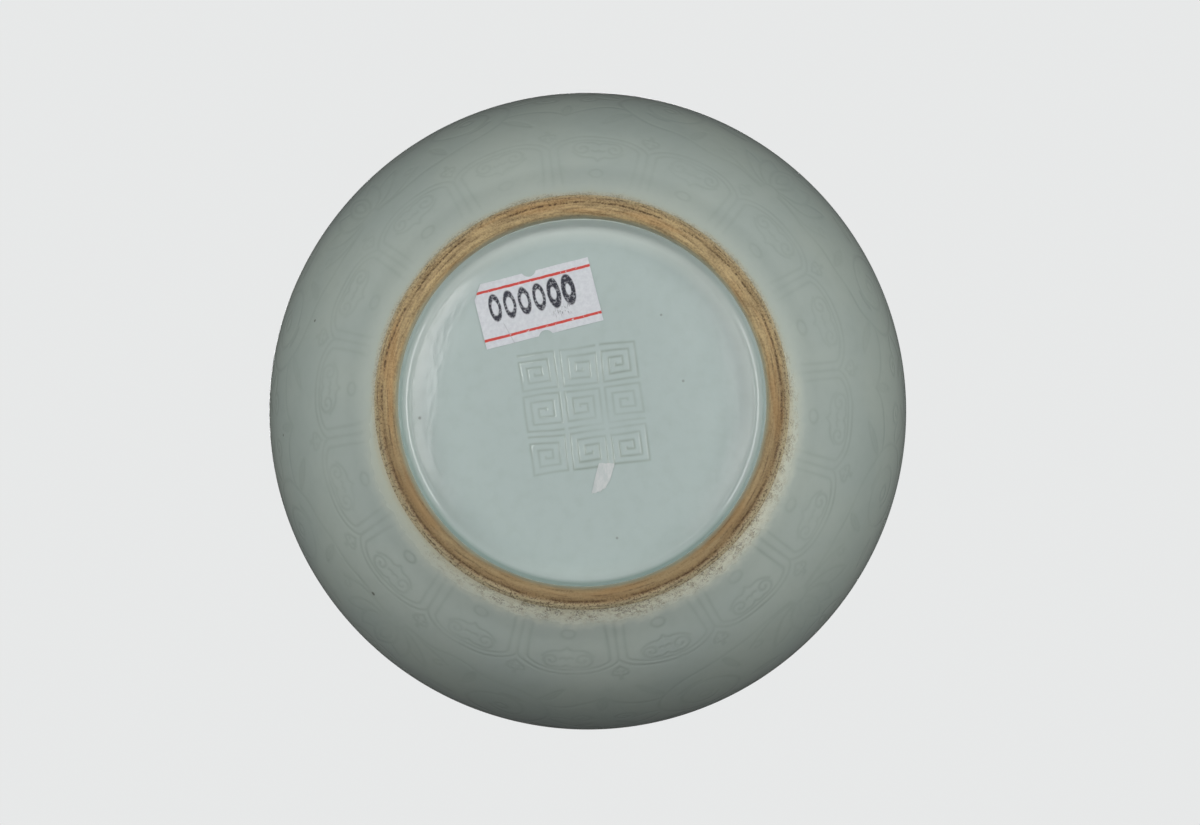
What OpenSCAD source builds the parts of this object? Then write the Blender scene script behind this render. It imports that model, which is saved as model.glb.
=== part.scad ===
// Celadon brush washer: a low round bowl with an in-turned mouth, a carved band of lappets above its foot,
// a bare clay foot ring, and a paper label left on its base. It stands on its foot, with the mouth up.
// Lengths are in millimetres. X and Y lie in the plane that the foot rests on, and Z is the axis of the bowl.

/* [Bowl] */
// Widest diameter, over the glaze
bowl_d = 125; // [118:0.5:140]
// Height from the table to the top of the lip
bowl_h = 64; // [60:0.5:70]
// Height of the widest part above the table
belly_z = 47; // [44:0.5:50]
// Clear diameter of the mouth
mouth_d = 102; // [92:0.5:108]
// Thickness of the wall, with its glaze
wall_t = 3.6; // [3:0.1:4.5]
// Thickness of the floor, with its glaze
floor_t = 5.5; // [4.5:0.1:7]
// Radius of the curve from the wall to the floor inside
floor_curve_r = 20; // [14:0.5:24]

/* [Foot] */
// Outer diameter of the bare clay of the foot
foot_d = 79; // [74:0.5:84]
// Width of the foot ring
foot_w = 4.9; // [4.2:0.1:5.6]
// Width of the flat that the foot rests on
land_w = 1.9; // [1.2:0.1:2.6]
// Height of the clay that the glaze leaves bare
bare_h = 2.2; // [1.9:0.1:2.6]
// Height at which the lines of the foot and the wall would cross
foot_h = 4; // [3.6:0.1:5]
// Radius of the cove between the foot and the wall
cove_r = 1.5; // [1.1:0.1:2]
// Depth of the recess under the base
recess_depth = 5.5; // [5:0.1:6.5]
// Radius of the curve from the foot to the base inside the recess
recess_curve_r = 1.4; // [1.2:0.1:2.4]

/* [Glaze] */
// Thickness of the glaze
glaze_t = 0.5; // [0.4:0.05:0.6]

/* [Lappets] */
// Number of lappets round the wall
lappet_count = 16; // [12:1:20]
// Length of a lappet up the wall
lappet_l = 14; // [12:0.5:17]
// Space between the cove and the lower end of a lappet
lappet_foot_gap = 0.8; // [0.6:0.1:2]
// Direction of the middle of the first lappet, in degrees
lappet_bearing = 3.5; // [0:0.5:22]
// Height of the arch that closes a lappet at its top, along the wall
lappet_arch_h = 4.2; // [3:0.1:5.5]
// Width of a carved line
line_w = 0.5; // [0.4:0.05:0.6]
// Depth of a carved line
line_depth = 0.25; // [0.15:0.05:0.3]
// Distance from the line round a lappet to the line inside it, from middle to middle
line_pitch = 1.7; // [1.3:0.1:2.2]

/* [Paper] */
// Length of the label
label_l = 22.2; // [18:0.1:24]
// Width of the label
label_w = 11.4; // [9:0.1:13]
// Thickness of the paper
paper_t = 0.12; // [0.08:0.01:0.2]
// Radius of the notch in each long side of the label
label_notch_r = 1.4; // [1:0.1:1.8]
// Depth of the notch in each long side of the label
label_notch_depth = 0.9; // [0.4:0.1:1.3]
// Length cut off one corner of the label along its long side
label_cut_l = 1.8; // [0.5:0.1:3]
// Length cut off one corner of the label along its short side
label_cut_w = 2.7; // [0.5:0.1:4]
// Distance from the edge of the flat base to the middle of the label
label_inset = 12.4; // [11.5:0.1:15]
// Direction of the label from the axis, in degrees
label_bearing = 246; // [0:1:359]
// Turn of the label in its place, in degrees
label_turn = -16; // [-30:1:30]
// Distance of the scrap of paper from the axis
scrap_reach = 14.8; // [11:0.2:17]
// Direction of the scrap of paper from the axis, in degrees
scrap_bearing = 74; // [30:1:150]
// Length of the scrap of paper along its longer side
scrap_l = 5.8; // [4:0.2:8]
// Width of the scrap of paper
scrap_w = 3.9; // [2:0.1:6]
// Length of the scrap's shorter side, where the tear across it starts
scrap_short_l = 2.8; // [1:0.1:3.8]

/* [Hidden] */
$fn = 96;
// Greatest distance that a straight step leaves the true curve of the bowl
bowl_chord = 0.015;
// Greatest distance that a straight step leaves the true curve of a carved line
line_chord = 0.06;
// Length by which a cutting shape passes the surface that it cuts
over = 1;

celadon = [0.72, 0.79, 0.76];
clay = [0.90, 0.88, 0.83];
burnt_clay = [0.66, 0.53, 0.36];
paper = [0.93, 0.94, 0.95];

belly_r = bowl_d / 2;
foot_r = foot_d / 2;
foot_in_r = foot_r - foot_w;
flank_r = foot_r + glaze_t;

// The wall is an arc that is upright at the belly and passes through the corner over the foot.
wall_run = belly_r - flank_r;
wall_rise = belly_z - foot_h;
wall_r = (wall_run * wall_run + wall_rise * wall_rise) / (2 * wall_run);
wall_c = [belly_r - wall_r, belly_z];

// The cove is an arc that touches the upright side of the foot and the wall.
cove_x = flank_r + cove_r;
cove_reach = wall_r + cove_r;
cove_c = [cove_x, belly_z - sqrt(cove_reach * cove_reach - (cove_x - wall_c[0]) * (cove_x - wall_c[0]))];
wall_start = bearing(wall_c, cove_c);

// The lip is a half circle, and the shoulder an arc from the belly to it.
lip_r = wall_t / 2;
lip_c = [mouth_d / 2 + lip_r, bowl_h - lip_r];
shoulder_run = belly_r - lip_r - lip_c[0];
shoulder_rise = lip_c[1] - belly_z;
shoulder_r = (shoulder_run * shoulder_run + shoulder_rise * shoulder_rise) / (2 * shoulder_run) + lip_r;
shoulder_c = [belly_r - shoulder_r, belly_z];
lip_start = bearing(shoulder_c, lip_c);
lip_tip = lip_start + 90;

// Inside, the floor is flat and its curve touches both the floor and the wall.
floor_z = recess_depth + floor_t;
floor_c_z = floor_z + floor_curve_r;
floor_reach = wall_r - wall_t - floor_curve_r;
floor_c = [wall_c[0] + sqrt(floor_reach * floor_reach - (belly_z - floor_c_z) * (belly_z - floor_c_z)), floor_c_z];
floor_start = bearing(wall_c, floor_c);

// Under the base, the curve of the recess touches the foot's inner side and the flat base.
base_r = foot_in_r - glaze_t - recess_curve_r;
recess_c = [base_r, recess_depth - recess_curve_r];

// The lappets lie on the wall's arc, between two bearings from its centre.
lappet_low = wall_start + turn_of(lappet_foot_gap);
lappet_high = lappet_low + turn_of(lappet_l);
lappet_mid = (lappet_low + lappet_high) / 2;
lappet_spring = lappet_high - turn_of(lappet_arch_h);
half_turn = 180 / lappet_count;
arch_foot = on_lappet(lappet_spring, half_turn);

// Bearing in degrees from one point to another.
function bearing(from, to) = atan2(to[1] - from[1], to[0] - from[0]);

// Degrees that a length along the wall's arc takes.
function turn_of(length) = length / wall_r * 180 / PI;

// Points along an arc from one bearing to another, without its first point.
function arc(c, r, from, to, chord = bowl_chord) =
    let (n = max(4, ceil(abs(to - from) / (2 * acos(1 - chord / r)))))
    [for (i = [1 : n]) let (a = from + (to - from) * i / n) [c[0] + r * cos(a), c[1] + r * sin(a)]];

function backwards(points) = [for (i = [len(points) - 1 : -1 : 0]) points[i]];

// Outside of the bowl from the foot to the tip of the lip, at a depth under the surface of the glaze.
function outer_side(depth) = concat(
    [[flank_r - depth, bare_h], [flank_r - depth, cove_c[1]]],
    arc(cove_c, cove_r + depth, 180, bearing(cove_c, wall_c)),
    arc(wall_c, wall_r - depth, wall_start, 0),
    arc(shoulder_c, shoulder_r - depth, 0, lip_start),
    arc(lip_c, lip_r - depth, lip_start, lip_tip));

// Inside of the bowl from the tip of the lip to the middle of the floor, at a depth under the glaze.
function inner_side(depth) = concat(
    arc(lip_c, lip_r - depth, lip_tip, lip_start + 180),
    arc(shoulder_c, shoulder_r - wall_t + depth, lip_start, 0),
    arc(wall_c, wall_r - wall_t + depth, 0, floor_start),
    arc(floor_c, floor_curve_r + depth, floor_start, -90),
    [[0, floor_z - depth]]);

// Recess under the bowl from the foot to the middle of the base, at a depth under the glaze.
function base_side(depth) = concat(
    [[foot_in_r - glaze_t + depth, bare_h], [foot_in_r - glaze_t + depth, recess_c[1]]],
    arc(recess_c, recess_curve_r + depth, 0, 90),
    [[0, recess_depth + depth]]);

// Tip of the lip, at a depth under the glaze.
function lip_end(depth) = lip_c + (lip_r - depth) * [cos(lip_tip), sin(lip_tip)];

// Radius and height of the wall at a bearing from its arc's centre.
function on_wall(a) = wall_c + wall_r * [cos(a), sin(a)];

// Place in a lappet's own plane, across and up, of a point of the wall that lies a turn beside the lappet's middle.
function on_lappet(a, turn) =
    let (p = on_wall(a), m = on_wall(lappet_mid))
    [p[0] * sin(turn), (p[1] - m[1]) * cos(lappet_mid) - (p[0] * cos(turn) - m[0]) * sin(lappet_mid)];

// Outline of a lappet in its own plane, moved in by a distance: straight sides under half an ellipse.
function lappet_outline(inset) =
    let (foot = on_lappet(lappet_low, half_turn),
         rise = on_lappet(lappet_high, 0)[1] - arch_foot[1] - inset)
    concat([[foot[0] - inset, foot[1]]],
           [for (p = concat([[1, 0]], arc([0, 0], 1, 0, 180, line_chord / rise)))
               [p[0] * (arch_foot[0] - inset), arch_foot[1] + p[1] * rise]],
           [[inset - foot[0], foot[1]]]);

module turned(points) {
    rotate_extrude()
        polygon(points);
}

// Line along a lappet's outline, moved in by a distance and open towards the foot.
module lappet_line(inset) {
    foot = on_lappet(lappet_low, half_turn);
    difference() {
        polygon(lappet_outline(inset - line_w / 2));
        polygon(concat([foot - [0, over]],
                       lappet_outline(inset + line_w / 2),
                       [[-foot[0], foot[1] - over]]));
    }
}

// Arch of a lappet, which ends in the two border lines beside it.
module lappet_arch() {
    half_w = arch_foot[0] - line_w / 4;
    intersection() {
        lappet_line(0);
        translate([-half_w, arch_foot[1]])
            square([2 * half_w, lappet_l]);
    }
}

// Border line between two lappets, from their lower ends to where the arches spring from it.
module lappet_border() {
    low = on_lappet(lappet_low, 0)[1];
    translate([-line_w / 2, low])
        square([line_w, on_lappet(lappet_spring, 0)[1] + line_pitch / 2 - low]);
}

// What is carved square to the wall, at a turn from the first lappet, on every lappet.
module round_the_wall(turn) {
    m = on_wall(lappet_mid);
    for (k = [0 : lappet_count - 1])
        rotate([0, 0, lappet_bearing + turn + 2 * half_turn * k])
            translate([m[0], 0, m[1]])
                rotate([0, 90 - lappet_mid, 0])
                    rotate([0, 0, 90])
                        translate([0, 0, -lappet_l / 2])
                            linear_extrude(lappet_l / 2 + over)
                                children();
}

// Every line of the band, left as deep as the carving goes.
module lappet_carving() {
    difference() {
        union() {
            round_the_wall(0) lappet_line(line_pitch);
            round_the_wall(0) lappet_arch();
            round_the_wall(half_turn) lappet_border();
        }
        turned(concat(outer_side(line_depth), [[0, bowl_h], [0, bare_h]]));
    }
}

module porcelain_body() {
    color(clay)
        turned(concat(outer_side(glaze_t), inner_side(glaze_t), backwards(base_side(glaze_t))));
}

module foot_ring() {
    round_r = (foot_w - land_w) / 2;
    color(burnt_clay)
        turned(concat([[foot_r, bare_h], [foot_r, round_r]],
                      arc([foot_r - round_r, round_r], round_r, 0, -90),
                      [[foot_in_r + round_r, 0]],
                      arc([foot_in_r + round_r, round_r], round_r, -90, -180),
                      [[foot_in_r, bare_h]]));
}

module outer_glaze() {
    color(celadon)
        difference() {
            turned(concat(outer_side(0), backwards(outer_side(glaze_t))));
            lappet_carving();
        }
}

module inner_glaze() {
    color(celadon)
        turned(concat([lip_end(glaze_t), lip_end(0)], inner_side(0), backwards(inner_side(glaze_t))));
}

module base_glaze() {
    color(celadon)
        turned(concat(base_side(0), backwards(base_side(glaze_t))));
}

module paper_label() {
    color(paper)
        rotate([0, 0, label_bearing])
            translate([base_r - label_inset, 0, recess_depth - paper_t])
                rotate([0, 0, label_turn - label_bearing])
                    linear_extrude(paper_t)
                        difference() {
                            square([label_l, label_w], center = true);
                            for (side = [-1, 1])
                                translate([0, side * (label_w / 2 + label_notch_r - label_notch_depth)])
                                    circle(label_notch_r);
                            translate([-label_l / 2, -label_w / 2])
                                polygon([[-over, -over], [label_cut_l, -over], [label_cut_l, 0],
                                         [0, label_cut_w], [-over, label_cut_w]]);
                        }
}

module label_scrap() {
    color(paper)
        rotate([0, 0, scrap_bearing])
            translate([scrap_reach, 0, recess_depth - paper_t])
                rotate([0, 0, -scrap_bearing])
                    linear_extrude(paper_t)
                        polygon([[-scrap_w / 2, -scrap_l / 2],
                                 [scrap_w / 2, -scrap_l / 2],
                                 [scrap_w / 2, scrap_short_l - scrap_l / 2],
                                 [-scrap_w / 2, scrap_l / 2]]);
}

porcelain_body();
foot_ring();
outer_glaze();
inner_glaze();
base_glaze();
paper_label();
label_scrap();
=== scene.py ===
import math

import bpy
import numpy as np
from mathutils import Matrix, Vector


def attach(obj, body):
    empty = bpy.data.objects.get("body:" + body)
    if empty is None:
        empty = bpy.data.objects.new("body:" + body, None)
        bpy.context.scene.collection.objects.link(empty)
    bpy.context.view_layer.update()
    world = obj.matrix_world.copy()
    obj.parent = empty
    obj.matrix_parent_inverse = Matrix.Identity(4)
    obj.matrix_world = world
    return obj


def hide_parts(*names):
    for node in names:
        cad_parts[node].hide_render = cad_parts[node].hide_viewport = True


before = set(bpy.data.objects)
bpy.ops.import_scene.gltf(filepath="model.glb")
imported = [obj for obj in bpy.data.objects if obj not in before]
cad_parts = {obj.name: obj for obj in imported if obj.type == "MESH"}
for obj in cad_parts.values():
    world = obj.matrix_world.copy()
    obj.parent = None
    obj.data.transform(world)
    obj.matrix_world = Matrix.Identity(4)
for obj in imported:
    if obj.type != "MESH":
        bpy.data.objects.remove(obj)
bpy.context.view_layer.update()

# Sizes of the bowl in millimetres, as in the part's source
MM = 0.001
BELLY_R, BELLY_Z, BOWL_H, MOUTH_R = 62.5, 47.0, 64.0, 51.0
WALL_T, FLOOR_T, FLOOR_CURVE_R, GLAZE_T = 3.6, 5.5, 20.0, 0.5
FOOT_R, FOOT_W, LAND_W, BARE_H, FOOT_H = 39.5, 4.9, 1.9, 2.2, 4.0
LAPPETS, LAPPET_BEARING, LAPPET_L = 16, 3.5, 14.0
RECESS_DEPTH, PAPER_T = 5.5, 0.12

# The label and the scrap as the photo shows them, the label within half a millimetre of its solid
LABEL_L, LABEL_W, LABEL_TURN, LABEL_AT = 22.7, 12.3, -14.2, (-8.52, -18.82)
NOTCH_R, NOTCH_OUT, NOTCH_SHIFT = 1.4, 0.5, 0.1
CUT_L, CUT_H = 1.8, 2.7
SCRAP_AT, SCRAP_LEFT, SCRAP_RIGHT = (4.02, 14.25), -2.27, 1.98

# The incised panel on the base, where the base's edge begins to dish or fall off, and its meniscus
PANEL_R, PANEL_TURN, PANEL_AT = 18.0, -7.3, (0.3, 0.9)
CELL_W, CELL_H, CELLS, CELL_GAP, FRET_PITCH = 7.7, 7.9, 3, 0.55, 1.3
DISH_R, FALL_R = 26.0, 26.5
MENISCUS_R, MENISCUS_CURVE_R = 32.25, 1.8

# Turning lines of the foot: radius, half width, depth, darkness, and how far they reach round
TURNING_LINES = (
    (37.5, 0.19, 0.14, 1.0, 0.6),
    (38.55, 0.15, 0.09, 0.8, 0.0),
    (36.4, 0.12, 0.07, 0.55, -0.1),
    (36.95, 0.1, 0.05, 0.4, -0.2),
    (35.4, 0.14, 0.06, 0.4, -0.2),
    (38.05, 0.08, 0.04, 0.45, -0.1),
)

# Pinholes in the glaze: place and radius
PINHOLES = (
    ((-40.27, 35.91, 18.34), 0.42),
    ((-51.54, -16.31, 18.5), 0.3),
    ((-58.25, 5.34, 26.92), 0.26),
    ((-30.68, 2.81, 5.45), 0.3),
    ((18.98, -4.14, 5.5), 0.28),
    ((14.83, -16.61, 5.5), 0.24),
    ((6.52, 25.46, 5.5), 0.26),
)


def bearing(a, b):
    """Direction in degrees from point a to point b of a profile."""
    return math.degrees(math.atan2(b[1] - a[1], b[0] - a[0]))


FOOT_IN_R = FOOT_R - FOOT_W
FLANK_R = FOOT_R + GLAZE_T
RUN, RISE = BELLY_R - FLANK_R, BELLY_Z - FOOT_H
WALL_R = (RUN**2 + RISE**2) / (2 * RUN)
WALL_C = (BELLY_R - WALL_R, BELLY_Z)
LIP_R = WALL_T / 2
LIP_C = (MOUTH_R + LIP_R, BOWL_H - LIP_R)
LIP_RUN, LIP_RISE = BELLY_R - LIP_R - LIP_C[0], LIP_C[1] - BELLY_Z
SHOULDER_R = (LIP_RUN**2 + LIP_RISE**2) / (2 * LIP_RUN) + LIP_R
SHOULDER_C = (BELLY_R - SHOULDER_R, BELLY_Z)
LIP_START = bearing(SHOULDER_C, LIP_C)
FLOOR_Z = RECESS_DEPTH + FLOOR_T
FLOOR_REACH = WALL_R - WALL_T - FLOOR_CURVE_R
FLOOR_C = (
    WALL_C[0] + math.sqrt(FLOOR_REACH**2 - (BELLY_Z - FLOOR_Z - FLOOR_CURVE_R) ** 2),
    FLOOR_Z + FLOOR_CURVE_R,
)
FLOOR_START = bearing(WALL_C, FLOOR_C)

# Bearings on the wall's arc: its low end, the lappets' low line, and the scroll's low line
WALL_LOW, LAPPET_LOW, FRIEZE_LOW = -47.5, -53.53, -34.0

# Below its arc the wall bends in to the clay, and glaze near the clay knows its distance from it
SHOULDER_OF_FOOT, FOOT_BEND, EDGE_REACH = (FOOT_R - 0.5, 0.95), 3.2, 12.0

# Meshes: columns round the bowl, spacing of stroke points, crease angle, and the flat map of a ring
COLUMNS, PLAIN_COLUMNS, STROKE_STEP, CREASE = 1440, 480, 0.08, 50
MAP_SECTORS, MAP_BACK, MAP_MARGIN = 4, 0.06, 0.005


# Surfaces


def arc(centre, radius, start, end, count):
    """Profile points on an arc: centre + radius (cos a, sin a), a even from one bearing to another."""
    a = np.radians(np.linspace(start, end, count))
    return np.stack([centre[0] + radius * np.cos(a), centre[1] + radius * np.sin(a)], 1)


def line(a, b, count):
    """Profile points on a straight line: a + (b - a) t, t even from 0 to 1."""
    return np.asarray(a) + (np.asarray(b) - np.asarray(a)) * np.linspace(0, 1, count)[:, None]


def joined(*runs):
    """Profile runs one after another, without the first point of each later run."""
    return np.concatenate([runs[0]] + [r[1:] for r in runs[1:]])


def lengths(profile):
    """Distance along a profile from its first point: the running sum of its steps."""
    return np.concatenate([[0.0], np.cumsum(np.hypot(*np.diff(profile, axis=0).T))])


def normals(profile):
    """Directions out of the clay: the tangent (dr, dz) turned to (dz, -dr), with the clay on the left."""
    dr, dz = np.gradient(profile, axis=0).T
    return np.stack([dz, -dr], 1) / np.hypot(dr, dz)[:, None]


def angles(columns):
    """Angles of the columns round the axis, in a row: 2 pi k / columns."""
    return (np.arange(columns) * 2 * np.pi / columns)[None]


def turned(profile, columns, relief=None):
    """Points of a turned surface, rows along the profile and columns round the axis: a profile point
    (r, z), moved out along its normal by the relief, goes to (r cos t, r sin t, z)."""
    t = angles(columns)
    out = normals(profile)
    relief = np.zeros((len(profile), columns)) if relief is None else relief
    r = profile[:, :1] + out[:, :1] * relief
    z = profile[:, 1:] + out[:, 1:] * relief
    return np.stack([r * np.cos(t), r * np.sin(t), z + 0 * t], -1)


def put(name, node, points, faces, paint, marks=None, places=None):
    """Makes a piece from points in millimetres and lists of quads and triangles, gives it values at its
    points and places on a flat map at its corners, and hands it to the body in place of its node."""
    corners = np.concatenate([f.ravel() for f in faces])
    counts = np.concatenate([np.full(len(f), f.shape[1]) for f in faces])
    mesh = bpy.data.meshes.new(name)
    mesh.vertices.add(len(points))
    mesh.vertices.foreach_set("co", (points * MM).astype(np.float32).ravel())
    mesh.loops.add(len(corners))
    mesh.loops.foreach_set("vertex_index", corners.astype(np.int32))
    mesh.polygons.add(len(counts))
    mesh.polygons.foreach_set("loop_start", (np.cumsum(counts) - counts).astype(np.int32))
    mesh.update(calc_edges=True)
    mesh.validate()
    for key, value in (marks or {}).items():
        layer = mesh.attributes.new(key, "FLOAT", "POINT")
        layer.data.foreach_set("value", value.astype(np.float32).ravel())
    if places is not None:
        mesh.uv_layers.new(name="OFBake").uv.foreach_set("vector", places.astype(np.float32).ravel())
    mesh.shade_smooth()
    mesh.set_sharp_from_angle(angle=math.radians(CREASE))
    obj = bpy.data.objects.new(name, mesh)
    bpy.context.collection.objects.link(obj)
    mesh.materials.append(paint)
    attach(obj, "root")
    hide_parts(node)
    return obj


def ring(name, node, front, back, paint, columns, relief=None, marks=None):
    """A closed ring: the front profile with its relief, then the back profile home to its start, both
    turned. A quad joins each point to its neighbours, and both ways round close. The flat map lays the ring
    in sectors over each other, with the unseen back in a narrow strip."""
    rows, hidden = len(front), len(back)
    points = np.concatenate([turned(front, columns, relief), turned(back, columns)])
    total = rows + hidden
    i, j = np.arange(total)[:, None], np.arange(columns)[None]
    i2, j2 = (i + 1) % total, (j + 1) % columns
    quads = np.stack([i * columns + j, i * columns + j2, i2 * columns + j2, i2 * columns + j], -1)
    strip = lengths(front)[-1] * (1 + MAP_BACK * np.arange(1, hidden + 2) / (hidden + 1))
    along = np.concatenate([lengths(front), strip])
    along = MAP_MARGIN + (1 - 2 * MAP_MARGIN) * along / along[-1]
    share = columns // MAP_SECTORS
    v0, v1 = (along[i] + j // share) / MAP_SECTORS, (along[i + 1] + j // share) / MAP_SECTORS
    u0 = (j % share) / share + 0 * v0
    u1 = u0 + 1 / share
    places = np.stack([np.stack(c, -1) for c in ((u0, v0), (u1, v0), (u1, v1), (u0, v1))], -2)
    full = {}
    for key, value in (marks or {}).items():
        value = value + np.zeros((rows, columns))
        full[key] = np.concatenate([value, np.zeros((hidden, columns))])
    return put(name, node, points.reshape(-1, 3), [quads.reshape(-1, 4)], paint, full, places)


def bowl(name, node, front, back, paint, columns, relief=None, marks=None):
    """A closed shell with a pole at each end of its profile: front from its pole out to the rim, back from
    the rim to its own pole. Quads join the rings, and a fan of triangles closes each pole."""
    rings = np.concatenate([turned(front, columns, relief)[1:], turned(back, columns)[:-1]])
    tips = np.array([[0, 0, front[0, 1]], [0, 0, back[-1, 1]]])
    total = len(rings)
    i, j = np.arange(total - 1)[:, None], np.arange(columns)[None]
    j2 = (j + 1) % columns
    quads = np.stack([i * columns + j, i * columns + j2, (i + 1) * columns + j2, (i + 1) * columns + j], -1)
    a, b = j[0], j2[0]
    first, last, end = total * columns, total * columns + 1, (total - 1) * columns
    fans = [np.stack([0 * a + first, b, a], 1), np.stack([0 * a + last, end + a, end + b], 1)]
    full = {}
    for key, value in (marks or {}).items():
        value = value + np.zeros((len(front), columns))
        hidden = np.zeros((len(back) - 1) * columns)
        full[key] = np.concatenate([value[1:].ravel(), hidden, [value[0].mean(), 0.0]])
    points = np.concatenate([rings.reshape(-1, 3), tips])
    return put(name, node, points, [quads.reshape(-1, 4), np.concatenate(fans)], paint, full)


# Carving


def bend(a, b, c, step=STROKE_STEP):
    """Points of a bent stroke: (1-t)^2 a + 2t(1-t) b + t^2 c."""
    a, b, c = (np.asarray(p, float) for p in (a, b, c))
    n = max(4, int((np.hypot(*(b - a)) + np.hypot(*(c - b))) / step))
    t = np.linspace(0, 1, n)[:, None]
    return (1 - t) ** 2 * a + 2 * t * (1 - t) * b + t**2 * c


def curl(centre, r0, r1, start, end, step=STROKE_STEP):
    """Points of a spiral: centre + r (cos a, sin a), r from r0 to r1 as a goes from start to end."""
    n = max(8, int(math.radians(abs(end - start)) * (r0 + r1) / 2 / step))
    t = np.linspace(0, 1, n)
    a = np.radians(start + (end - start) * t)
    r = r0 + (r1 - r0) * t
    return np.stack([centre[0] + r * np.cos(a), centre[1] + r * np.sin(a)], 1)


def oval(centre, half_u, half_v, start=0, end=360):
    """Points of an oval: centre + (half_u cos a, half_v sin a)."""
    p = curl((0, 0), 1, 1, start, end, STROKE_STEP / max(half_u, half_v))
    return np.asarray(centre) + p * (half_u, half_v)


def leaf(root, tip, width):
    """Two bent strokes from root to tip, bowed to both sides by the width, and a vein between them."""
    root, tip = np.asarray(root, float), np.asarray(tip, float)
    side = np.array([tip[1] - root[1], root[0] - tip[0]]) / np.hypot(*(tip - root)) * width
    mid = root + 0.45 * (tip - root)
    vein = bend(root, mid, root + 0.7 * (tip - root))
    return [bend(root, mid + side, tip), bend(root, mid - side, tip), vein]


def nearest(u, v, strokes):
    """Distance from each grid point to the nearest point of the strokes, some stroke points at a time."""
    marks = np.concatenate(strokes).astype(np.float32)
    u, v = u.astype(np.float32).ravel(), v.astype(np.float32).ravel()
    best = np.full(u.shape, 1e6, np.float32)
    for some in np.array_split(marks, max(1, len(marks) // 24)):
        gap = (u[:, None] - some[:, 0]) ** 2 + (v[:, None] - some[:, 1]) ** 2
        np.minimum(best, gap.min(1), out=best)
    return np.sqrt(best)


def sway(t, v, size, seed):
    """A hand's unsteadiness: a sum of slow waves round the bowl and up the wall, with seeded phases."""
    rng, waves = np.random.default_rng(seed), 5
    out = np.zeros(np.broadcast(t, v).shape)
    for _ in range(waves):
        turns, rate, phase = rng.integers(3, 34), rng.uniform(-0.4, 0.4), rng.uniform(0, 2 * np.pi)
        out += np.sin(turns * t + rate * v + phase)
    return out * size / waves


def ripple(x, y, size, seed, rates=(0.25, 0.9)):
    """An uneven flat: a sum of waves over x and y with seeded directions, rates and phases."""
    rng, waves = np.random.default_rng(seed), 7
    out = np.zeros(np.broadcast(x, y).shape)
    for _ in range(waves):
        way, rate, phase = rng.uniform(0, 2 * np.pi), rng.uniform(*rates), rng.uniform(0, 2 * np.pi)
        out += np.sin(rate * (x * math.cos(way) + y * math.sin(way)) + phase)
    return out * size / waves


def folded(t, v, radius, start, count, size, seed):
    """Distance from the middle of a repeat round the wall, the same to both sides: the bearing from the
    first middle is swayed, wrapped into one repeat, made positive and laid off along the wall's radius."""
    width = 2 * np.pi / count
    a = t - math.radians(start) + sway(t, v, size, seed) / radius
    return radius * np.abs((a + width / 2) % width - width / 2)


def wall_rows(low, high, step):
    """The wall's arc between two bearings: its points, and lengths from the low end."""
    count = int(math.radians(high - low) * WALL_R / step) + 1
    p = arc(WALL_C, WALL_R, low, high, count)
    return p, math.radians(high - low) * WALL_R * np.linspace(0, 1, count)


def wall_radius(v):
    """Radius of the wall at a length above the lappets' low line."""
    return WALL_C[0] + WALL_R * np.cos(math.radians(LAPPET_LOW) + v / WALL_R)


def lappet_strokes():
    """Strokes of half a lappet, across and up from the middle of its low line: the border line and the arch
    that springs from it, a second outline inside, a cloud-shaped head of one curl a side, a pearl, and a
    small curl in the space between two arches."""
    half = math.pi / LAPPETS
    spring, pitch, rise = LAPPET_L - 4.0, 1.75, 4.0
    up = np.arange(-1.6, spring, STROKE_STEP)
    side = wall_radius(spring) * half
    top = wall_radius(LAPPET_L + 1.2) * half
    return [
        np.stack([wall_radius(up) * half, up], 1),
        oval((0, spring), side, rise, 0, 90),
        np.stack([wall_radius(up) * half - pitch, up], 1),
        oval((0, spring), side - pitch, rise - 1.25, 0, 90),
        curl((2.95, 10.0), 0.35, 2.0, 115 - 470, 115),
        bend((2.1, 11.81), (1.0, 12.35), (0.0, 11.4)),
        bend((4.75, 9.1), (3.2, 7.1), (1.3, 7.5)),
        bend((1.3, 7.5), (0.45, 7.3), (0.0, 6.4)),
        bend((0.0, 9.7), (0.6, 9.0), (1.15, 9.5)),
        oval((0, 2.9), 1.3, 1.15),
        curl((top - 0.95, LAPPET_L + 0.3), 0.25, 0.95, 330, 60),
        bend((top - 0.5, LAPPET_L + 1.1), (top - 0.1, LAPPET_L + 1.5), (top, LAPPET_L + 2.4)),
        bend((top - 1.5, LAPPET_L - 0.3), (top - 0.6, LAPPET_L - 1.0), (top, LAPPET_L - 2.0)),
    ]


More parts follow.
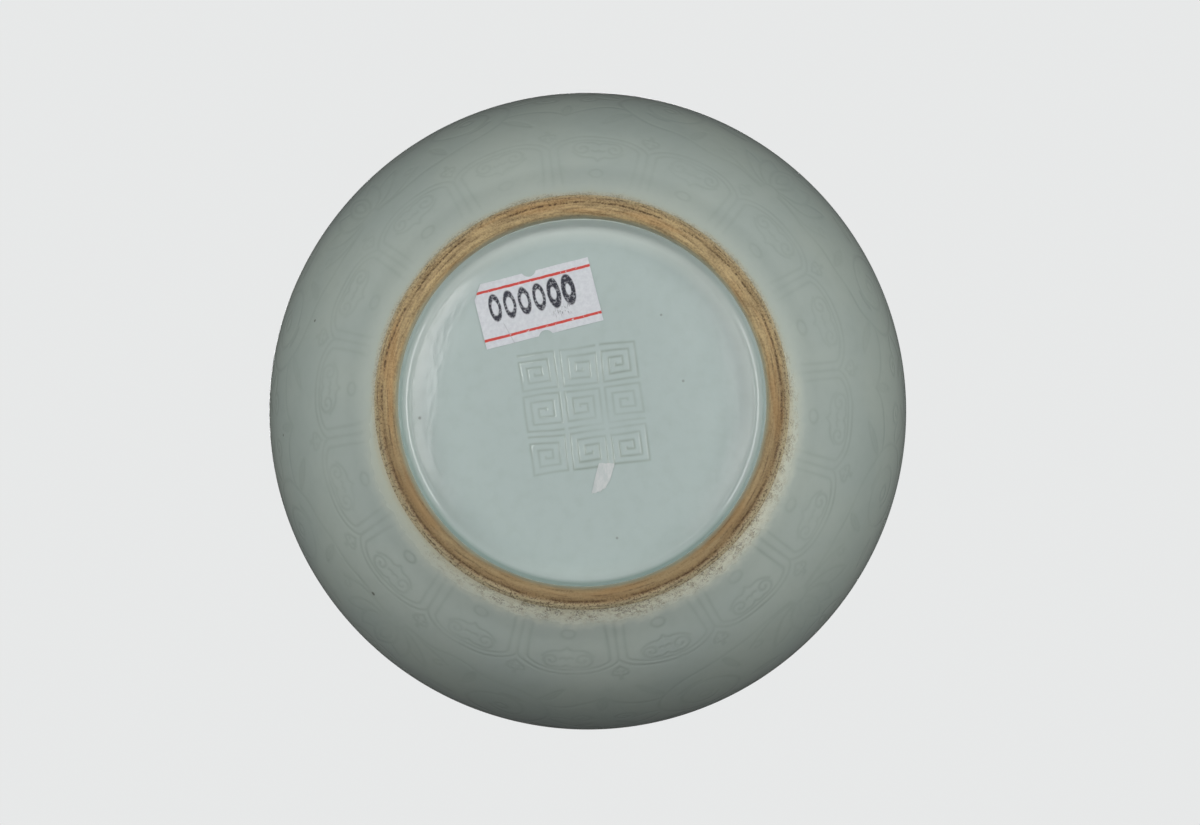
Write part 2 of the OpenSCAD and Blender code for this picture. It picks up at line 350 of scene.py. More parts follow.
def scroll_strokes():
    """Strokes of half a repeat of the scroll above the lappets, across and up from the middle of a lotus:
    its petals opening to both sides, and a stem that leaves its foot and winds into a spiral with leaves."""
    petals = [
        oval((0, 2.6), 2.1, 1.3, 0, 180),
        bend((0.6, 3.8), (4.3, 9.0), (0, 15.8)),
        bend((0, 6.0), (2.1, 9.2), (0, 12.6)),
        bend((1.6, 3.5), (7.8, 6.0), (4.6, 14.4)),
        bend((4.6, 14.4), (3.5, 12.6), (2.0, 11.4)),
        bend((2.0, 3.0), (9.4, 3.6), (9.9, 11.6)),
        bend((9.9, 11.6), (7.6, 10.6), (5.9, 8.8)),
        bend((2.1, 2.2), (9.0, 0.4), (13.6, 5.4)),
        curl((12.3, 6.1), 0.4, 1.5, 330 - 330, 330),
        bend((1.0, 17.4), (4.6, 17.0), (5.4, 20.6)),
        curl((4.3, 21.2), 0.35, 1.2, -20 - 300, -20),
        bend((0, 18.2), (1.6, 20.0), (0, 23.4)),
    ]
    stem = [
        curl((26.5, 14.2), 2.6, 10.2, -75 + 590, -75),
        bend((29.1, 4.35), (17.0, 0.2), (2.3, 1.5)),
        oval((26.5, 14.2), 1.3, 1.3),
        bend((36.2, 17.0), (39.8, 22.5), (46.4, 23.2)),
        bend((34.9, 8.6), (40.6, 10.4), (46.4, 4.6)),
        curl((42.3, 15.0), 0.4, 2.3, 150 + 480, 150),
        bend((40.3, 16.1), (38.4, 14.4), (36.4, 15.6)),
    ]
    leaves = [
        *leaf((22.0, 23.6), (14.6, 26.6), 1.9),
        *leaf((16.7, 17.0), (11.0, 17.6), 1.7),
        *leaf((31.8, 22.8), (38.6, 27.4), 1.9),
        *leaf((20.0, 2.9), (17.6, 8.8), 1.5),
        *leaf((33.5, 6.6), (38.8, 1.8), 1.6),
        *leaf((40.6, 22.3), (43.6, 18.4), 1.2),
        *leaf((46.4, 23.2), (46.4, 28.6), 2.0),
        *leaf((46.4, 4.6), (46.4, 10.6), 1.7),
        *leaf((26.5, 7.6), (31.0, 9.6), 1.0),
    ]
    return petals + stem + leaves


def fret_strokes(half_u, half_v, pitch):
    """A squared spiral in one cell: straight strokes round the cell, each turn moved in by the pitch."""
    corners, u, v = [(-half_u, -half_v)], half_u, half_v
    while min(u, v) > 0.5 * pitch:
        corners += [(u, -v), (u, v), (-u, v), (-u, -v + pitch)]
        u, v = u - pitch, v - pitch
    runs = zip(corners, corners[1:])
    return [line(a, b, max(2, int(np.hypot(b[0] - a[0], b[1] - a[1]) / 0.1))) for a, b in runs]


def groove(gap, half_w, depth):
    """A cut with soft shoulders, as glaze leaves it: -depth exp(-(gap / half width)^2)."""
    return -depth * np.exp(-((gap / half_w) ** 2))


# Finishes


class Wire:
    """An output in a material's nodes. Arithmetic on it adds Math nodes, and node() adds any other kind."""

    def __init__(self, tree, socket=None):
        self.tree, self.socket = tree, socket

    def node(self, kind, settings=None, sockets=None, output=0):
        """Adds a node: its settings first, a ramp's stops among them, then its sockets' values or links."""
        made = self.tree.nodes.new(kind)
        for key, value in (settings or {}).items():
            if key == "stops":
                stops = made.color_ramp.elements
                while len(stops) < len(value):
                    stops.new(1.0)
                for stop, (place, colour) in zip(stops, value):
                    stop.position, stop.color = place, (*colour, 1.0)
            else:
                setattr(made, key, value)
        for key, value in (sockets or {}).items():
            if isinstance(value, Wire):
                self.tree.links.new(value.socket, made.inputs[key])
            else:
                made.inputs[key].default_value = value
        return Wire(self.tree, made.outputs[output] if made.outputs else None)

    def math(self, operation, *values, clamp=False):
        settings = {"operation": operation, "use_clamp": clamp}
        return self.node("ShaderNodeMath", settings, dict(enumerate(values)))

    def __add__(self, other):
        return self.math("ADD", self, other)

    def __sub__(self, other):
        return self.math("SUBTRACT", self, other)

    def __rsub__(self, other):
        return self.math("SUBTRACT", other, self)

    def __mul__(self, other):
        return self.math("MULTIPLY", self, other)

    def __truediv__(self, other):
        return self.math("DIVIDE", self, other)

    def __pow__(self, other):
        return self.math("POWER", self, other)

    def __abs__(self):
        return self.math("ABSOLUTE", self)

    __radd__ = __add__

    def clamped(self):
        return self.math("ADD", self, 0.0, clamp=True)

    def larger(self, other):
        return self.math("MAXIMUM", self, other)

    def step(self, low, high):
        """0 below low and 1 above high, smooth between; falling if low is the larger."""
        sockets = {"Value": self, "From Min": low, "From Max": high}
        return self.node("ShaderNodeMapRange", {"interpolation_type": "SMOOTHSTEP"}, sockets)

    def mix(self, a, b):
        """Colour a where this value is 0 and b where it is 1."""
        colours = {k: (*c, 1.0) if isinstance(c, tuple) else c for k, c in ((6, a), (7, b))}
        return self.node("ShaderNodeMix", {"data_type": "RGBA"}, {0: self, **colours}, 2)

    def noise(self, scale, detail=2.0, rough=0.5, stretch=(1, 1, 1)):
        """Noise from about 0 to 1 over this vector, drawn out along an axis where stretch is under 1."""
        place = self if stretch == (1, 1, 1) else self.scaled(stretch)
        sockets = {"Vector": place, "Scale": scale, "Detail": detail, "Roughness": rough}
        return self.node("ShaderNodeTexNoise", None, sockets)

    def scaled(self, by):
        return self.node("ShaderNodeVectorMath", {"operation": "MULTIPLY"}, {0: self, 1: by})

    def parts(self):
        return [self.node("ShaderNodeSeparateXYZ", None, {0: self}, k) for k in range(3)]

    def joined(self, x, y, z):
        return self.node("ShaderNodeCombineXYZ", None, {0: x, 1: y, 2: z})

    def gap(self, place):
        """Distance of this vector from a fixed place."""
        return self.node("ShaderNodeVectorMath", {"operation": "DISTANCE"}, {0: self, 1: place}, "Value")

    def mark(self, name):
        """A value that the piece holds at its points."""
        return self.node("ShaderNodeAttribute", {"attribute_name": name}, None, 2)

    def metres(self):
        """Place on the object in metres."""
        return self.node("ShaderNodeTexCoord", None, None, "Object")

    def place(self):
        """Place on the part in millimetres."""
        return self.metres().scaled((1 / MM, 1 / MM, 1 / MM))


def srgb(r, g, b):
    """A colour as a screen shows it, 0 to 255, made linear."""
    return tuple(c / 3294.6 if c < 10.3 else ((c / 255 + 0.055) / 1.055) ** 2.4 for c in (r, g, b))


def finish(name, draw, **fixed):
    """A material whose draw function gives the varying sockets of its shader; fixed ones are set on it."""
    made = bpy.data.materials.new(name)
    made.use_nodes = True
    tree = made.node_tree
    shader = tree.nodes["Principled BSDF"]
    for key, value in fixed.items():
        shader.inputs[key].default_value = value
    for key, value in draw(Wire(tree)).items():
        tree.links.new(value.socket, shader.inputs[key])
    return made


def bumped(wire, height, depth, strength):
    """A normal from a height of 0 to 1 that stands for a depth in millimetres."""
    sockets = {"Strength": strength, "Distance": depth * MM, "Height": height}
    return wire.node("ShaderNodeBump", None, sockets)


# Colours of the glaze, the bare clay and the papers
CELADON, CELADON_GREY, CELADON_COOL = srgb(178, 189, 180), srgb(172, 184, 177), srgb(183, 197, 194)
CELADON_POOL, CELADON_DEEP = srgb(148, 160, 151), srgb(138, 160, 152)
CELADON_THIN_AND_PAINTED_LIGHT, CELADON_FOOT_AND_PAINTED_LIGHT = srgb(220, 228, 221), srgb(204, 215, 205)
CREAM, PALE_CREAM, CLAY_WASH = srgb(204, 210, 193), srgb(236, 237, 217), srgb(170, 160, 126)
SPECK, PINHOLE = srgb(94, 74, 48), srgb(84, 82, 70)
TAN, DARK_TAN, BROWN = srgb(198, 174, 128), srgb(122, 97, 62), srgb(132, 112, 79)
KHAKI, RUST, BURNT = srgb(206, 195, 160), srgb(178, 128, 70), srgb(78, 56, 36)
GREEN_CLAY, CLAY_GREY, CLAY_WHITE = srgb(158, 164, 146), srgb(214, 210, 198), srgb(236, 233, 224)
PAPER_GREY, PAPER_WHITE, SLIT_GREY = srgb(208, 211, 216), srgb(220, 223, 227), srgb(150, 155, 158)
RULE_RED, INK = srgb(206, 72, 62), srgb(32, 32, 46)
SCRAP_GREY, SCRAP_PALE = srgb(194, 201, 200), srgb(212, 214, 213)


def round_the_foot(wire, x, y):
    """Radius, direction, and how far a place lies towards the side where the kiln left more specks."""
    radius = (x * x + y * y) ** 0.5
    way = wire.joined(x / radius, y / radius, 0.0)
    return radius, way, (y / radius + way.noise(1.6, 2) - 0.5).step(-0.35, 0.6)


def celadon(wire):
    """Even grey-green glaze, bluer on the base, that drifts a little in tint. It is deeper where it pools,
    paler on the lip, and thins to cream at the foot, where burnt clay shows through in specks."""
    at = wire.place()
    x, y, _ = at.parts()
    pool, deep, thin, edge, cool = (wire.mark(k) for k in ("pool", "deep", "thin", "edge", "cool"))
    drift, mottle = at.noise(0.045, 2).step(0.35, 0.65), at.noise(0.4, 3)
    colour = cool.mix(drift.mix(CELADON, CELADON_GREY), CELADON_COOL)
    colour = (mottle.step(0.4, 0.8) * 0.12).mix(colour, CELADON_POOL)
    colour = (pool * (0.24 + at.noise(0.12, 1) * 0.32)).clamped().mix(colour, CELADON_POOL)
    # Deep and thin tints; on the base they also hold painted light, paler and less deep towards -Y
    colour = (deep * 0.9).mix(colour, CELADON_DEEP)
    colour = (thin * 0.55).mix(colour, CELADON_THIN_AND_PAINTED_LIGHT)

    # Millimetres away from the ragged line where the glaze ends on the clay
    radius, way, speckled = round_the_foot(wire, x, y)
    outside = 1 - cool
    stray = way.noise(3.0, 3, 0.6) * 2.4 - 1.2 + at.noise(0.9, 3) * 1.2 - 0.6
    away = (EDGE_REACH - edge * EDGE_REACH + stray + cool * 0.8) * (1 + cool * 1.2)

    # Thin glaze near it: a paler tint, partly painted light over the steep wall's shade, cream, a wash of
    # clay, and specks, fewer towards -X
    sided = (x / radius).step(-1.0, -0.3)
    cream = (away + 0.4 - speckled * 2.1 + at.noise(0.35, 2) * 2.4).step(6.0, 0.8)
    cream = cream * outside * (0.4 + speckled * 0.6)
    patches = at.noise(0.5, 2).step(0.36, 0.6)
    reach = (away + 1.4 - speckled * 2.6).step(4.2, 0.2) * (0.5 + speckled * 0.5)
    reach = reach * outside * (0.45 + patches * 0.55) * sided
    near = away.step(1.8, 0.1) * (1 - speckled * 0.8) * outside
    grain = at.noise(2.9, 2, 0.7) + patches * 0.06 + reach * 0.1 + near * 0.12
    specks = grain.step(0.62, 0.74) * reach.larger(near * 0.6)
    # Paler tint near the foot: partly thinner glaze, partly painted light over the steep wall's shade
    colour = (away.step(8.5, 2.0) * 0.55 * outside).mix(colour, CELADON_FOOT_AND_PAINTED_LIGHT)
    colour = (cream * 0.95).mix(colour, (speckled * sided).mix(CREAM, PALE_CREAM))
    colour = (at.noise(1.1, 3, 0.65).step(0.4, 0.7) * reach * 0.7).mix(colour, CLAY_WASH)
    colour = (away.step(1.8, 0.2) * (1 - cool * 0.5) * 0.4).mix(colour, KHAKI)
    colour = (specks * 0.6).clamped().mix(colour, SPECK)

    # Pinholes that the firing left
    holes = None
    for spot, size in PINHOLES:
        dot = at.gap(spot).step(size * 1.35, size * 0.5)
        holes = dot if holes is None else holes.larger(dot)
    colour = (holes * (0.7 - cool * 0.25)).mix(colour, PINHOLE)
    skin = at.noise(0.16, 2) * 0.7 + at.noise(0.9, 1) * (0.3 + cool * 0.25)
    rough = 0.11 - cool * 0.05 + mottle * 0.04 + cream * 0.3
    normal = bumped(wire, skin - holes * 0.6, 0.05, 0.35)
    return {"Base Color": colour, "Roughness": rough, "Normal": normal}


def foot_clay(wire):
    """Bare clay burnt tan, finely streaked and grained round the ring, greenish at its inner edge, with dark
    broken turning lines, and specks that thicken towards its outer edge, where thin glaze lies over it."""
    at = wire.place()
    x, y, _ = at.parts()
    radius, way, speckled = round_the_foot(wire, x, y)
    across = wire.mark("across")
    streak = wire.joined(x / radius * 7.0, y / radius * 7.0, across * 1.6).noise(1.0, 4, 0.65)
    broad = wire.joined(x / radius * 2.2, y / radius * 2.2, across * 0.4).noise(1.0, 3)
    grain = at.noise(2.2, 4, 0.75)
    stray = way.noise(4.0, 3) * 1.0 - 0.5 + at.noise(1.2, 2) * 0.5 - 0.25
    inner = radius + stray * 0.6
    outer = radius + speckled * 0.6 + stray
    height = streak * 0.5 + grain * 0.5
    colour = height.step(0.34, 0.62).mix(BROWN, TAN)
    colour = (broad.step(0.48, 0.66) * (0.3 + speckled * 0.2)).mix(colour, RUST)
    colour = (speckled * 0.6).mix(colour, BROWN)
    dull = inner.step(FOOT_IN_R + 1.3, FOOT_IN_R + 2.7) * (0.08 + speckled * 0.42)
    colour = dull.mix(colour, DARK_TAN)
    colour = (outer.step(FOOT_R - 1.6, FOOT_R - 0.1) * 0.8).mix(colour, KHAKI)
    colour = (inner.step(FOOT_IN_R + 0.9, FOOT_IN_R - 0.1) * 0.85).mix(colour, GREEN_CLAY)
    lines = wire.mark("groove") * (0.2 + at.noise(1.7, 3, 0.8).step(0.4, 0.6) * 1.2)
    specks = at.noise(2.3, 2, 0.7).step(0.5, 0.62) * outer.step(FOOT_R - 2.7, FOOT_R - 1.1)
    specks = specks * (0.75 + speckled * 0.25)
    colour = (specks * 0.75).larger(lines.clamped() * 0.9).mix(colour, BURNT)
    normal = bumped(wire, height, 0.16, 0.6)
    return {"Base Color": colour, "Roughness": 0.82 - streak * 0.14, "Normal": normal}


def hidden_clay(wire):
    """White porcelain clay under the glaze, with a fine grain."""
    grain = wire.place().noise(1.4, 3)
    return {"Base Color": grain.mix(CLAY_GREY, CLAY_WHITE), "Roughness": 0.7 - grain * 0.1}


def label_paper(wire):
    """White label paper with two red rules, a row of plain zeros in uneven stamp ink, a slit and smears."""
    settle = {"Location": (*LABEL_AT, 0.0), "Rotation": (0.0, 0.0, math.radians(LABEL_TURN))}
    here = wire.node("ShaderNodeMapping", {"vector_type": "TEXTURE"}, {"Vector": wire.place(), **settle})
    u, v, _ = here.parts()
    fibre = here.noise(1.3, 4, 0.6)
    colour = fibre.step(0.3, 0.7).mix(PAPER_GREY, PAPER_WHITE)
    rule = (abs(v) - (LABEL_W / 2 - 1.6)) + (here.noise(1.0, 1) - 0.5) * 0.16
    worn = 1 - here.noise(1.6, 2, 0.6).step(0.62, 0.72) * 0.7
    colour = (abs(rule).step(0.3, 0.2) * worn).mix(colour, RULE_RED)

    # Stamp: an oval ring in each of six cells, heavier towards one end, with smears below that end
    pitch, first, last, low = 2.85, -9.35, 7.75, 1.1
    half_w, half_h = 0.9, 2.05
    cells = (u - first) / pitch
    cell = cells.math("FRACT", cells) - 0.5
    wobble = (here.noise(0.7, 1) - 0.5) * 0.5
    rim = ((cell * pitch / half_w) ** 2.0 + ((v + low) / half_h) ** 2.0) ** 0.5
    weight = 0.26 + u.step(1.0, 4.5) * 0.16
    inside = u.step(first - 0.01, first) * u.step(last, last - 0.01)
    ink = (abs(rim - 1.0 + wobble * 0.35) - weight).step(0.14, -0.08) * inside
    patchy = here.noise(2.2, 3, 0.7).step(0.36, 0.5)
    smear = here.noise(1.8, 3, 0.7, (2.6, 0.7, 1)).step(0.52, 0.68)
    smear = smear * u.step(1.6, 3.2) * u.step(7.4, 6.0) * v.step(0.9, 1.7) * v.step(4.0, 3.0)
    colour = (ink * (0.55 + patchy * 0.43)).larger(smear * 0.6).mix(colour, INK)
    slit = abs(u * 0.97 - v * 0.26 + 7.4).step(0.12, 0.04) * v.step(1.8, 2.4)
    colour = (slit * 0.4).mix(colour, SLIT_GREY)
    normal = bumped(wire, fibre - slit, 0.04, 0.5)
    return {"Base Color": colour, "Roughness": 0.62 + fibre * 0.2, "Normal": normal}


def scrap_paper(wire):
    """A thin torn scrap, close to the glaze in tone, with pale fibres along its tear."""
    fibre = wire.place().noise(1.6, 4, 0.65, (1.0, 0.35, 1.0))
    colour = fibre.step(0.35, 0.7).mix(SCRAP_GREY, SCRAP_PALE)
    normal = bumped(wire, fibre, 0.05, 0.6)
    return {"Base Color": colour, "Roughness": 0.55 + fibre * 0.25, "Normal": normal}


glaze = finish("celadon_glaze", celadon, Roughness=0.15, IOR=1.5)
bare_clay = finish("burnt_foot_clay", foot_clay, Roughness=0.8)
paper = finish("label_paper", label_paper, Roughness=0.7)
scrap = finish("scrap_paper", scrap_paper, Roughness=0.7)
clay = finish("porcelain_clay", hidden_clay, Roughness=0.7)
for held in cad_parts["porcelain_body"].material_slots:
    held.material = clay


# Pieces


def behind(front, count=4):
    """A few points of a front profile, moved into the clay by the glaze's thickness, in reverse."""
    inner = front - normals(front) * GLAZE_T
    return inner[np.linspace(len(front) - 1, 0, count).astype(int)]


def glaze_ring(name, front, relief=None, marks=None, columns=COLUMNS):
    """A ring of the outer glaze, even in thickness behind its front profile."""
    return ring(name, "outer_glaze", front, behind(front), glaze, columns, relief, marks)


def lappet_glaze():
    """The glaze with the lappets, in two rings that share a row. Grooves follow the strokes, and the glaze
    pools in them; both fade out below and are fainter towards -Y. Low down the wall bends in to the clay."""
    strokes, low_turn = lappet_strokes(), math.radians(WALL_LOW)
    foot = arc(WALL_C, WALL_R, WALL_LOW, WALL_LOW, 1)[0]
    lean = np.array([-math.sin(low_turn), math.cos(low_turn)])
    edge = bend(SHOULDER_OF_FOOT, foot - FOOT_BEND * lean, foot, 0.2)
    t, split = angles(COLUMNS), LAPPET_LOW + 6.6
    for name, low, high in (("lappet_feet", WALL_LOW, split), ("lappet_heads", split, FRIEZE_LOW)):
        front, _ = wall_rows(low, high, 0.21)
        front = joined(edge, front) if low == WALL_LOW else front
        up = np.arctan2(front[:, 1] - WALL_C[1], front[:, 0] - WALL_C[0]) - math.radians(LAPPET_LOW)
        v = (up * WALL_R)[:, None]
        u = folded(t, v, front[:, :1], LAPPET_BEARING, LAPPETS, 0.5, 3)
        gap = nearest(u, v + sway(t, v, 0.35, 4), strokes).reshape(u.shape)
        hand = (0.75 + sway(t, v, 0.5, 5)) * (0.85 + 0.3 * np.sin(t))
        fade = np.clip((v + 1.9) / 2.4, 0, 1)
        relief = groove(gap, 0.3, 0.05) * hand * fade
        pool = (np.exp(-((gap / 0.34) ** 2)) * hand + 0.15 * np.exp(-gap / 0.8)) * fade
        close = np.clip(1 - lengths(front)[:, None] / EDGE_REACH, 0, 1) * (low == WALL_LOW)
        glaze_ring(name, front, relief, {"pool": pool, "edge": close})


def scroll_glaze():
    """The glaze with the scroll frieze, in two rings that share a row, carved like the lappets and fading
    out towards the belly."""
    strokes, t = scroll_strokes(), angles(COLUMNS)
    middle_r, first, repeats = 59.0, 131.5, 4
    half_way, tall = FRIEZE_LOW / 2, math.radians(-FRIEZE_LOW) * WALL_R
    for name, low, high in (("scroll_low", FRIEZE_LOW, half_way), ("scroll_high", half_way, 0.0)):
        front, up = wall_rows(low, high, 0.28)
        v = (up + math.radians(low - FRIEZE_LOW) * WALL_R)[:, None]
        u = folded(t, v, middle_r, first, repeats, 0.9, 6)
        gap = nearest(u, v + sway(t, v, 0.7, 7), strokes).reshape(u.shape)
        hand = 0.75 + sway(t, v, 0.6, 8)
        fade = np.clip((tall - v) / 1.5, 0, 1)
        relief = groove(gap, 0.36, 0.045) * hand * fade
        pool = (np.exp(-((gap / 0.42) ** 2)) * hand * 0.6 + 0.08 * np.exp(-gap / 0.9)) * fade
        glaze_ring(name, front, relief, {"pool": pool})


def shoulder_glaze():
    """The plain glaze of the shoulder, up to the tip of the lip, where it is thin."""
    front = joined(
        arc(SHOULDER_C, SHOULDER_R, 0, LIP_START, 40),
        arc(LIP_C, LIP_R, LIP_START, LIP_START + 90, 14),
    )
    thin = np.exp(-(((lengths(front)[-1] - lengths(front)) / 1.6) ** 2))[:, None]
    glaze_ring("shoulder_glaze", front, None, {"thin": thin}, PLAIN_COLUMNS)


def inner_glaze():
    """The glaze inside, from the middle of the floor up the wall and over to the tip of the lip. It is thin
    at the lip and deeper where the floor turns up."""
    front = joined(
        line((0, FLOOR_Z), (FLOOR_C[0], FLOOR_Z), 16),
        arc(FLOOR_C, FLOOR_CURVE_R, -90, FLOOR_START, 26),
        arc(WALL_C, WALL_R - WALL_T, FLOOR_START, 0, 30),
        arc(SHOULDER_C, SHOULDER_R - WALL_T, 0, LIP_START, 24),
        arc(LIP_C, LIP_R, LIP_START + 180, LIP_START + 90, 14),
    )
    along = lengths(front)
    marks = {
        "thin": np.exp(-(((along[-1] - along) / 1.8) ** 2))[:, None],
        "deep": (0.3 * np.exp(-(((along - FLOOR_C[0] - 8) / 9.0) ** 2)))[:, None],
    }
    down = front[::-1]
    back = (down - normals(down) * GLAZE_T)[::-1]
    back = back[np.linspace(len(back) - 1, 0, 14).astype(int)]
    back[-1, 0] = 0.0
    return bowl(
        "inner_glaze", "inner_glaze", front, back, glaze, PLAIN_COLUMNS, marks=marks
    )


def panel_gap(x, y, r):
    """Distance from places on the base to the strokes of the incised panel: a place is turned and moved to
    the panel's middle, unevenly, taken into its cell, and mirrored in every other cell."""
    turn = math.radians(PANEL_TURN)
    dx, dy = x - PANEL_AT[0], y - PANEL_AT[1]
    p = dx * math.cos(turn) + dy * math.sin(turn) + ripple(x, y, 0.3, 11)
    q = dy * math.cos(turn) - dx * math.sin(turn) + ripple(x, y, 0.3, 13)
    i, j = (np.clip(np.floor(c / size + CELLS / 2), 0, CELLS - 1) for c, size in ((p, CELL_W), (q, CELL_H)))
    u, v = p - (i - 1) * CELL_W, q - (j - 1) * CELL_H
    u, v = np.where((i + j) % 2 > 0, -u, u), np.where(j == 1, -v, v)
    held = (r < PANEL_R) & (np.abs(p) < CELL_W * CELLS / 2 + 1) & (np.abs(q) < CELL_H * CELLS / 2 + 1)
    far = 9.0
    gap = np.full(p.shape, far)
    strokes = fret_strokes(CELL_W / 2 - CELL_GAP, CELL_H / 2 - CELL_GAP, FRET_PITCH)
    gap[held] = nearest(u[held], v[held], strokes)
    return gap


def base_glaze():
    """The glaze in the recess: a flat base with a faint incised panel of squared spirals, a meniscus that
    rises in an arc to the foot's inner side, and that side, which leans out to the clay. Towards -Y the
    base's edge is a little dished, and to both sides it falls off. Near the meniscus the glaze is painted
    paler, most towards -Y, where the paler tint reaches up the inner side and the deep tint there is weak:
    a painted highlight, and painted light over the shade that the foot casts. The deep tint is strongest
    towards +Y."""
    columns = 720
    rise = arc((MENISCUS_R, RECESS_DEPTH - MENISCUS_CURVE_R), MENISCUS_CURVE_R, 90, 20, 22)
    front = joined(
        line((0, RECESS_DEPTH), (PANEL_R, RECESS_DEPTH), 90),
        line((PANEL_R, RECESS_DEPTH), (MENISCUS_R, RECESS_DEPTH), 14),
        rise,
        line(rise[-1], (FOOT_IN_R - 0.02, BARE_H), 4),
    )
    t, r = angles(columns), front[:, :1]
    x, y = r * np.cos(t), r * np.sin(t)
    gap = panel_gap(x, y, r)
    hand = np.clip(0.75 + ripple(x, y, 0.8, 12), 0.2, 1)
    uneven = ripple(x, y, 0.035, 14, (0.2, 0.7)) * np.clip((MENISCUS_R + 0.25 - r) / 4, 0, 1)
    sideways = np.clip(1.8 * np.cos(t) ** 2, 0, 1)
    dish = 0.25 * np.clip((r - DISH_R) / 8, 0, 1) ** 3 * np.clip(-1.1 * np.sin(t), 0, 1) * (1 - sideways)
    fall = 0.08 * np.clip((r - FALL_R) / 6.5, 0, 1) ** 2 * sideways
    relief = groove(gap, 0.2, 0.02) * hand + uneven + dish - fall
    to_clay = lengths(front)[-1] - lengths(front)[:, None]
    # Painted highlight and lifted shade: paler near the meniscus and less deep on the inner side, most
    # towards -Y
    pale = np.clip((r - MENISCUS_R + 2.05) / 2, 0, 1) * np.clip(0.55 - 0.5 * np.sin(t), 0.2, 1)
    painted_light_side = np.clip(-0.75 * np.sin(t), 0.12, 1)
    deep_side_with_painted_light = np.clip(0.65 + 0.55 * np.sin(t) - 0.15 * np.cos(t), 0, 1)
    marks = {
        "pool": 1.85 * np.exp(-((gap / 0.22) ** 2)) * hand,
        "deep": np.clip((3.3 - to_clay) / 1.2, 0, 1) * deep_side_with_painted_light,
        "thin": pale * np.clip((FOOT_IN_R - 0.4 - r) / 0.9, painted_light_side, 1),
        "cool": np.ones_like(gap),
        "edge": np.clip(1 - to_clay / EDGE_REACH, 0, 1),
    }
    back = (front - normals(front) * GLAZE_T)[[-1, -4, -11, -18, -25, 0]]
    back[-1, 0] = 0.0
    return bowl("base_glaze", "base_glaze", front, back, glaze, columns, relief, marks)


def foot_ring():
    """The bare ring: inner side, rounded edge, flat land, rounded edge and outer side, with turning lines
    cut in by soft grooves that stray a little and come and go round the ring."""
    round_r, columns = (FOOT_W - LAND_W) / 2, 960
    inner = bend((FOOT_IN_R, BARE_H), (FOOT_IN_R + 0.4, 0.1), (FOOT_IN_R + round_r, 0))
    front = joined(
        inner,
        line((FOOT_IN_R + round_r, 0), (FOOT_R - round_r, 0), 28),
        bend((FOOT_R - round_r, 0), (FOOT_R - 1.05, 0.05), SHOULDER_OF_FOOT, 0.05),
    )
    t = angles(columns)
    across = lengths(front)[:, None] - lengths(inner)[-1] + FOOT_IN_R + round_r
    relief, dark = np.zeros((len(front), columns)), np.zeros((len(front), columns))
    for k, (r, half_w, depth, strength, reach) in enumerate(TURNING_LINES):
        here = np.clip(reach + 0.55 + sway(t, 0, 2.6, 20 + k), 0, 1)
        stray = sway(t, 0, 0.25, 30 + k)
        cut = np.exp(-(((across - r - stray) / half_w) ** 2)) * here
        relief -= depth * cut
        dark = np.maximum(dark, strength * cut)
    marks = {"groove": dark, "across": across + 0 * t}
    back = np.array([[FOOT_R - 0.7, BARE_H], [FOOT_IN_R + 0.3, BARE_H]])
    return ring("foot_ring", "foot_ring", front, back, bare_clay, columns, relief, marks)


def slab(name, node, paint, x, low, high, lift, place, across):
    """A thin sheet of paper under the base. A point (u, w) of the unit square goes to x at u along the sheet
    and to y = low + (high - low) w between its edges there; its seen face hangs lower than the base by the
    paper's thickness and its lift, its back lies on the base, and a strip round the rim joins them."""
    w = np.linspace(0, 1, across)[:, None]
    y = low + (high - low) * w
    x = x + 0 * y
    px, py = place(x, y)
    seen = np.stack([px, py, RECESS_DEPTH - PAPER_T - lift(x, y)], -1)
    back = np.stack([px, py, RECESS_DEPTH + 0 * px], -1)
    n, m = x.shape
    i, j = np.arange(n - 1)[:, None], np.arange(m - 1)[None]
    quad = np.stack([i * m + j, (i + 1) * m + j, (i + 1) * m + j + 1, i * m + j + 1], -1).reshape(-1, 4)
    there, home = np.arange(m), n * m - 1 - np.arange(1, m)
    rim = np.concatenate([there, m - 1 + m * np.arange(1, n), home, m * np.arange(n - 2, 0, -1)])
    after = np.roll(rim, -1)
    sides = np.stack([rim, after, after + n * m, rim + n * m], 1)
    points = np.concatenate([seen.reshape(-1, 3), back.reshape(-1, 3)])
    return put(name, node, points, [quad, quad[:, ::-1] + n * m, sides], paint)


def turned_to(place, degrees):
    """A turn by degrees, then a move to a place, for flat points."""
    c, s = math.cos(math.radians(degrees)), math.sin(math.radians(degrees))
    return lambda x, y: (place[0] + c * x - s * y, place[1] + s * x + c * y)


def paper_label():
    """The label: straight edges with a round notch in the middle of each long side and one corner cut off.
    Its ends lift a little, and its middle is faintly cockled."""
    x = np.linspace(-LABEL_L / 2, LABEL_L / 2, 180)[None]

    def notch(middle):
        return np.clip(np.sqrt(np.clip(NOTCH_R**2 - (x - middle) ** 2, 0, None)) - NOTCH_OUT, 0, None)

    def lift(x, y):
        ends = np.clip(np.abs(x) / (LABEL_L / 2) - 0.82, 0, 1) * 0.6
        cockle = 0.015 * np.sin(x * 0.9 + y * 0.6) + 0.01 * np.sin(y * 1.7 - x * 0.5)
        return 0.48 * ends**2 + 0.02 + cockle

    cut = np.clip(CUT_H * (1 - (x + LABEL_L / 2) / CUT_L), 0, None)
    low, high = -LABEL_W / 2 + np.maximum(notch(-NOTCH_SHIFT), cut), LABEL_W / 2 - notch(NOTCH_SHIFT)
    rag = 0.02 * np.sin(x * 0.8) + 0.01 * np.sin(x * 5.3 + 1)
    place = turned_to(LABEL_AT, LABEL_TURN)
    return slab("paper_label", "paper_label", paper, x, low + rag, high + 0.7 * rag, lift, place, 90)


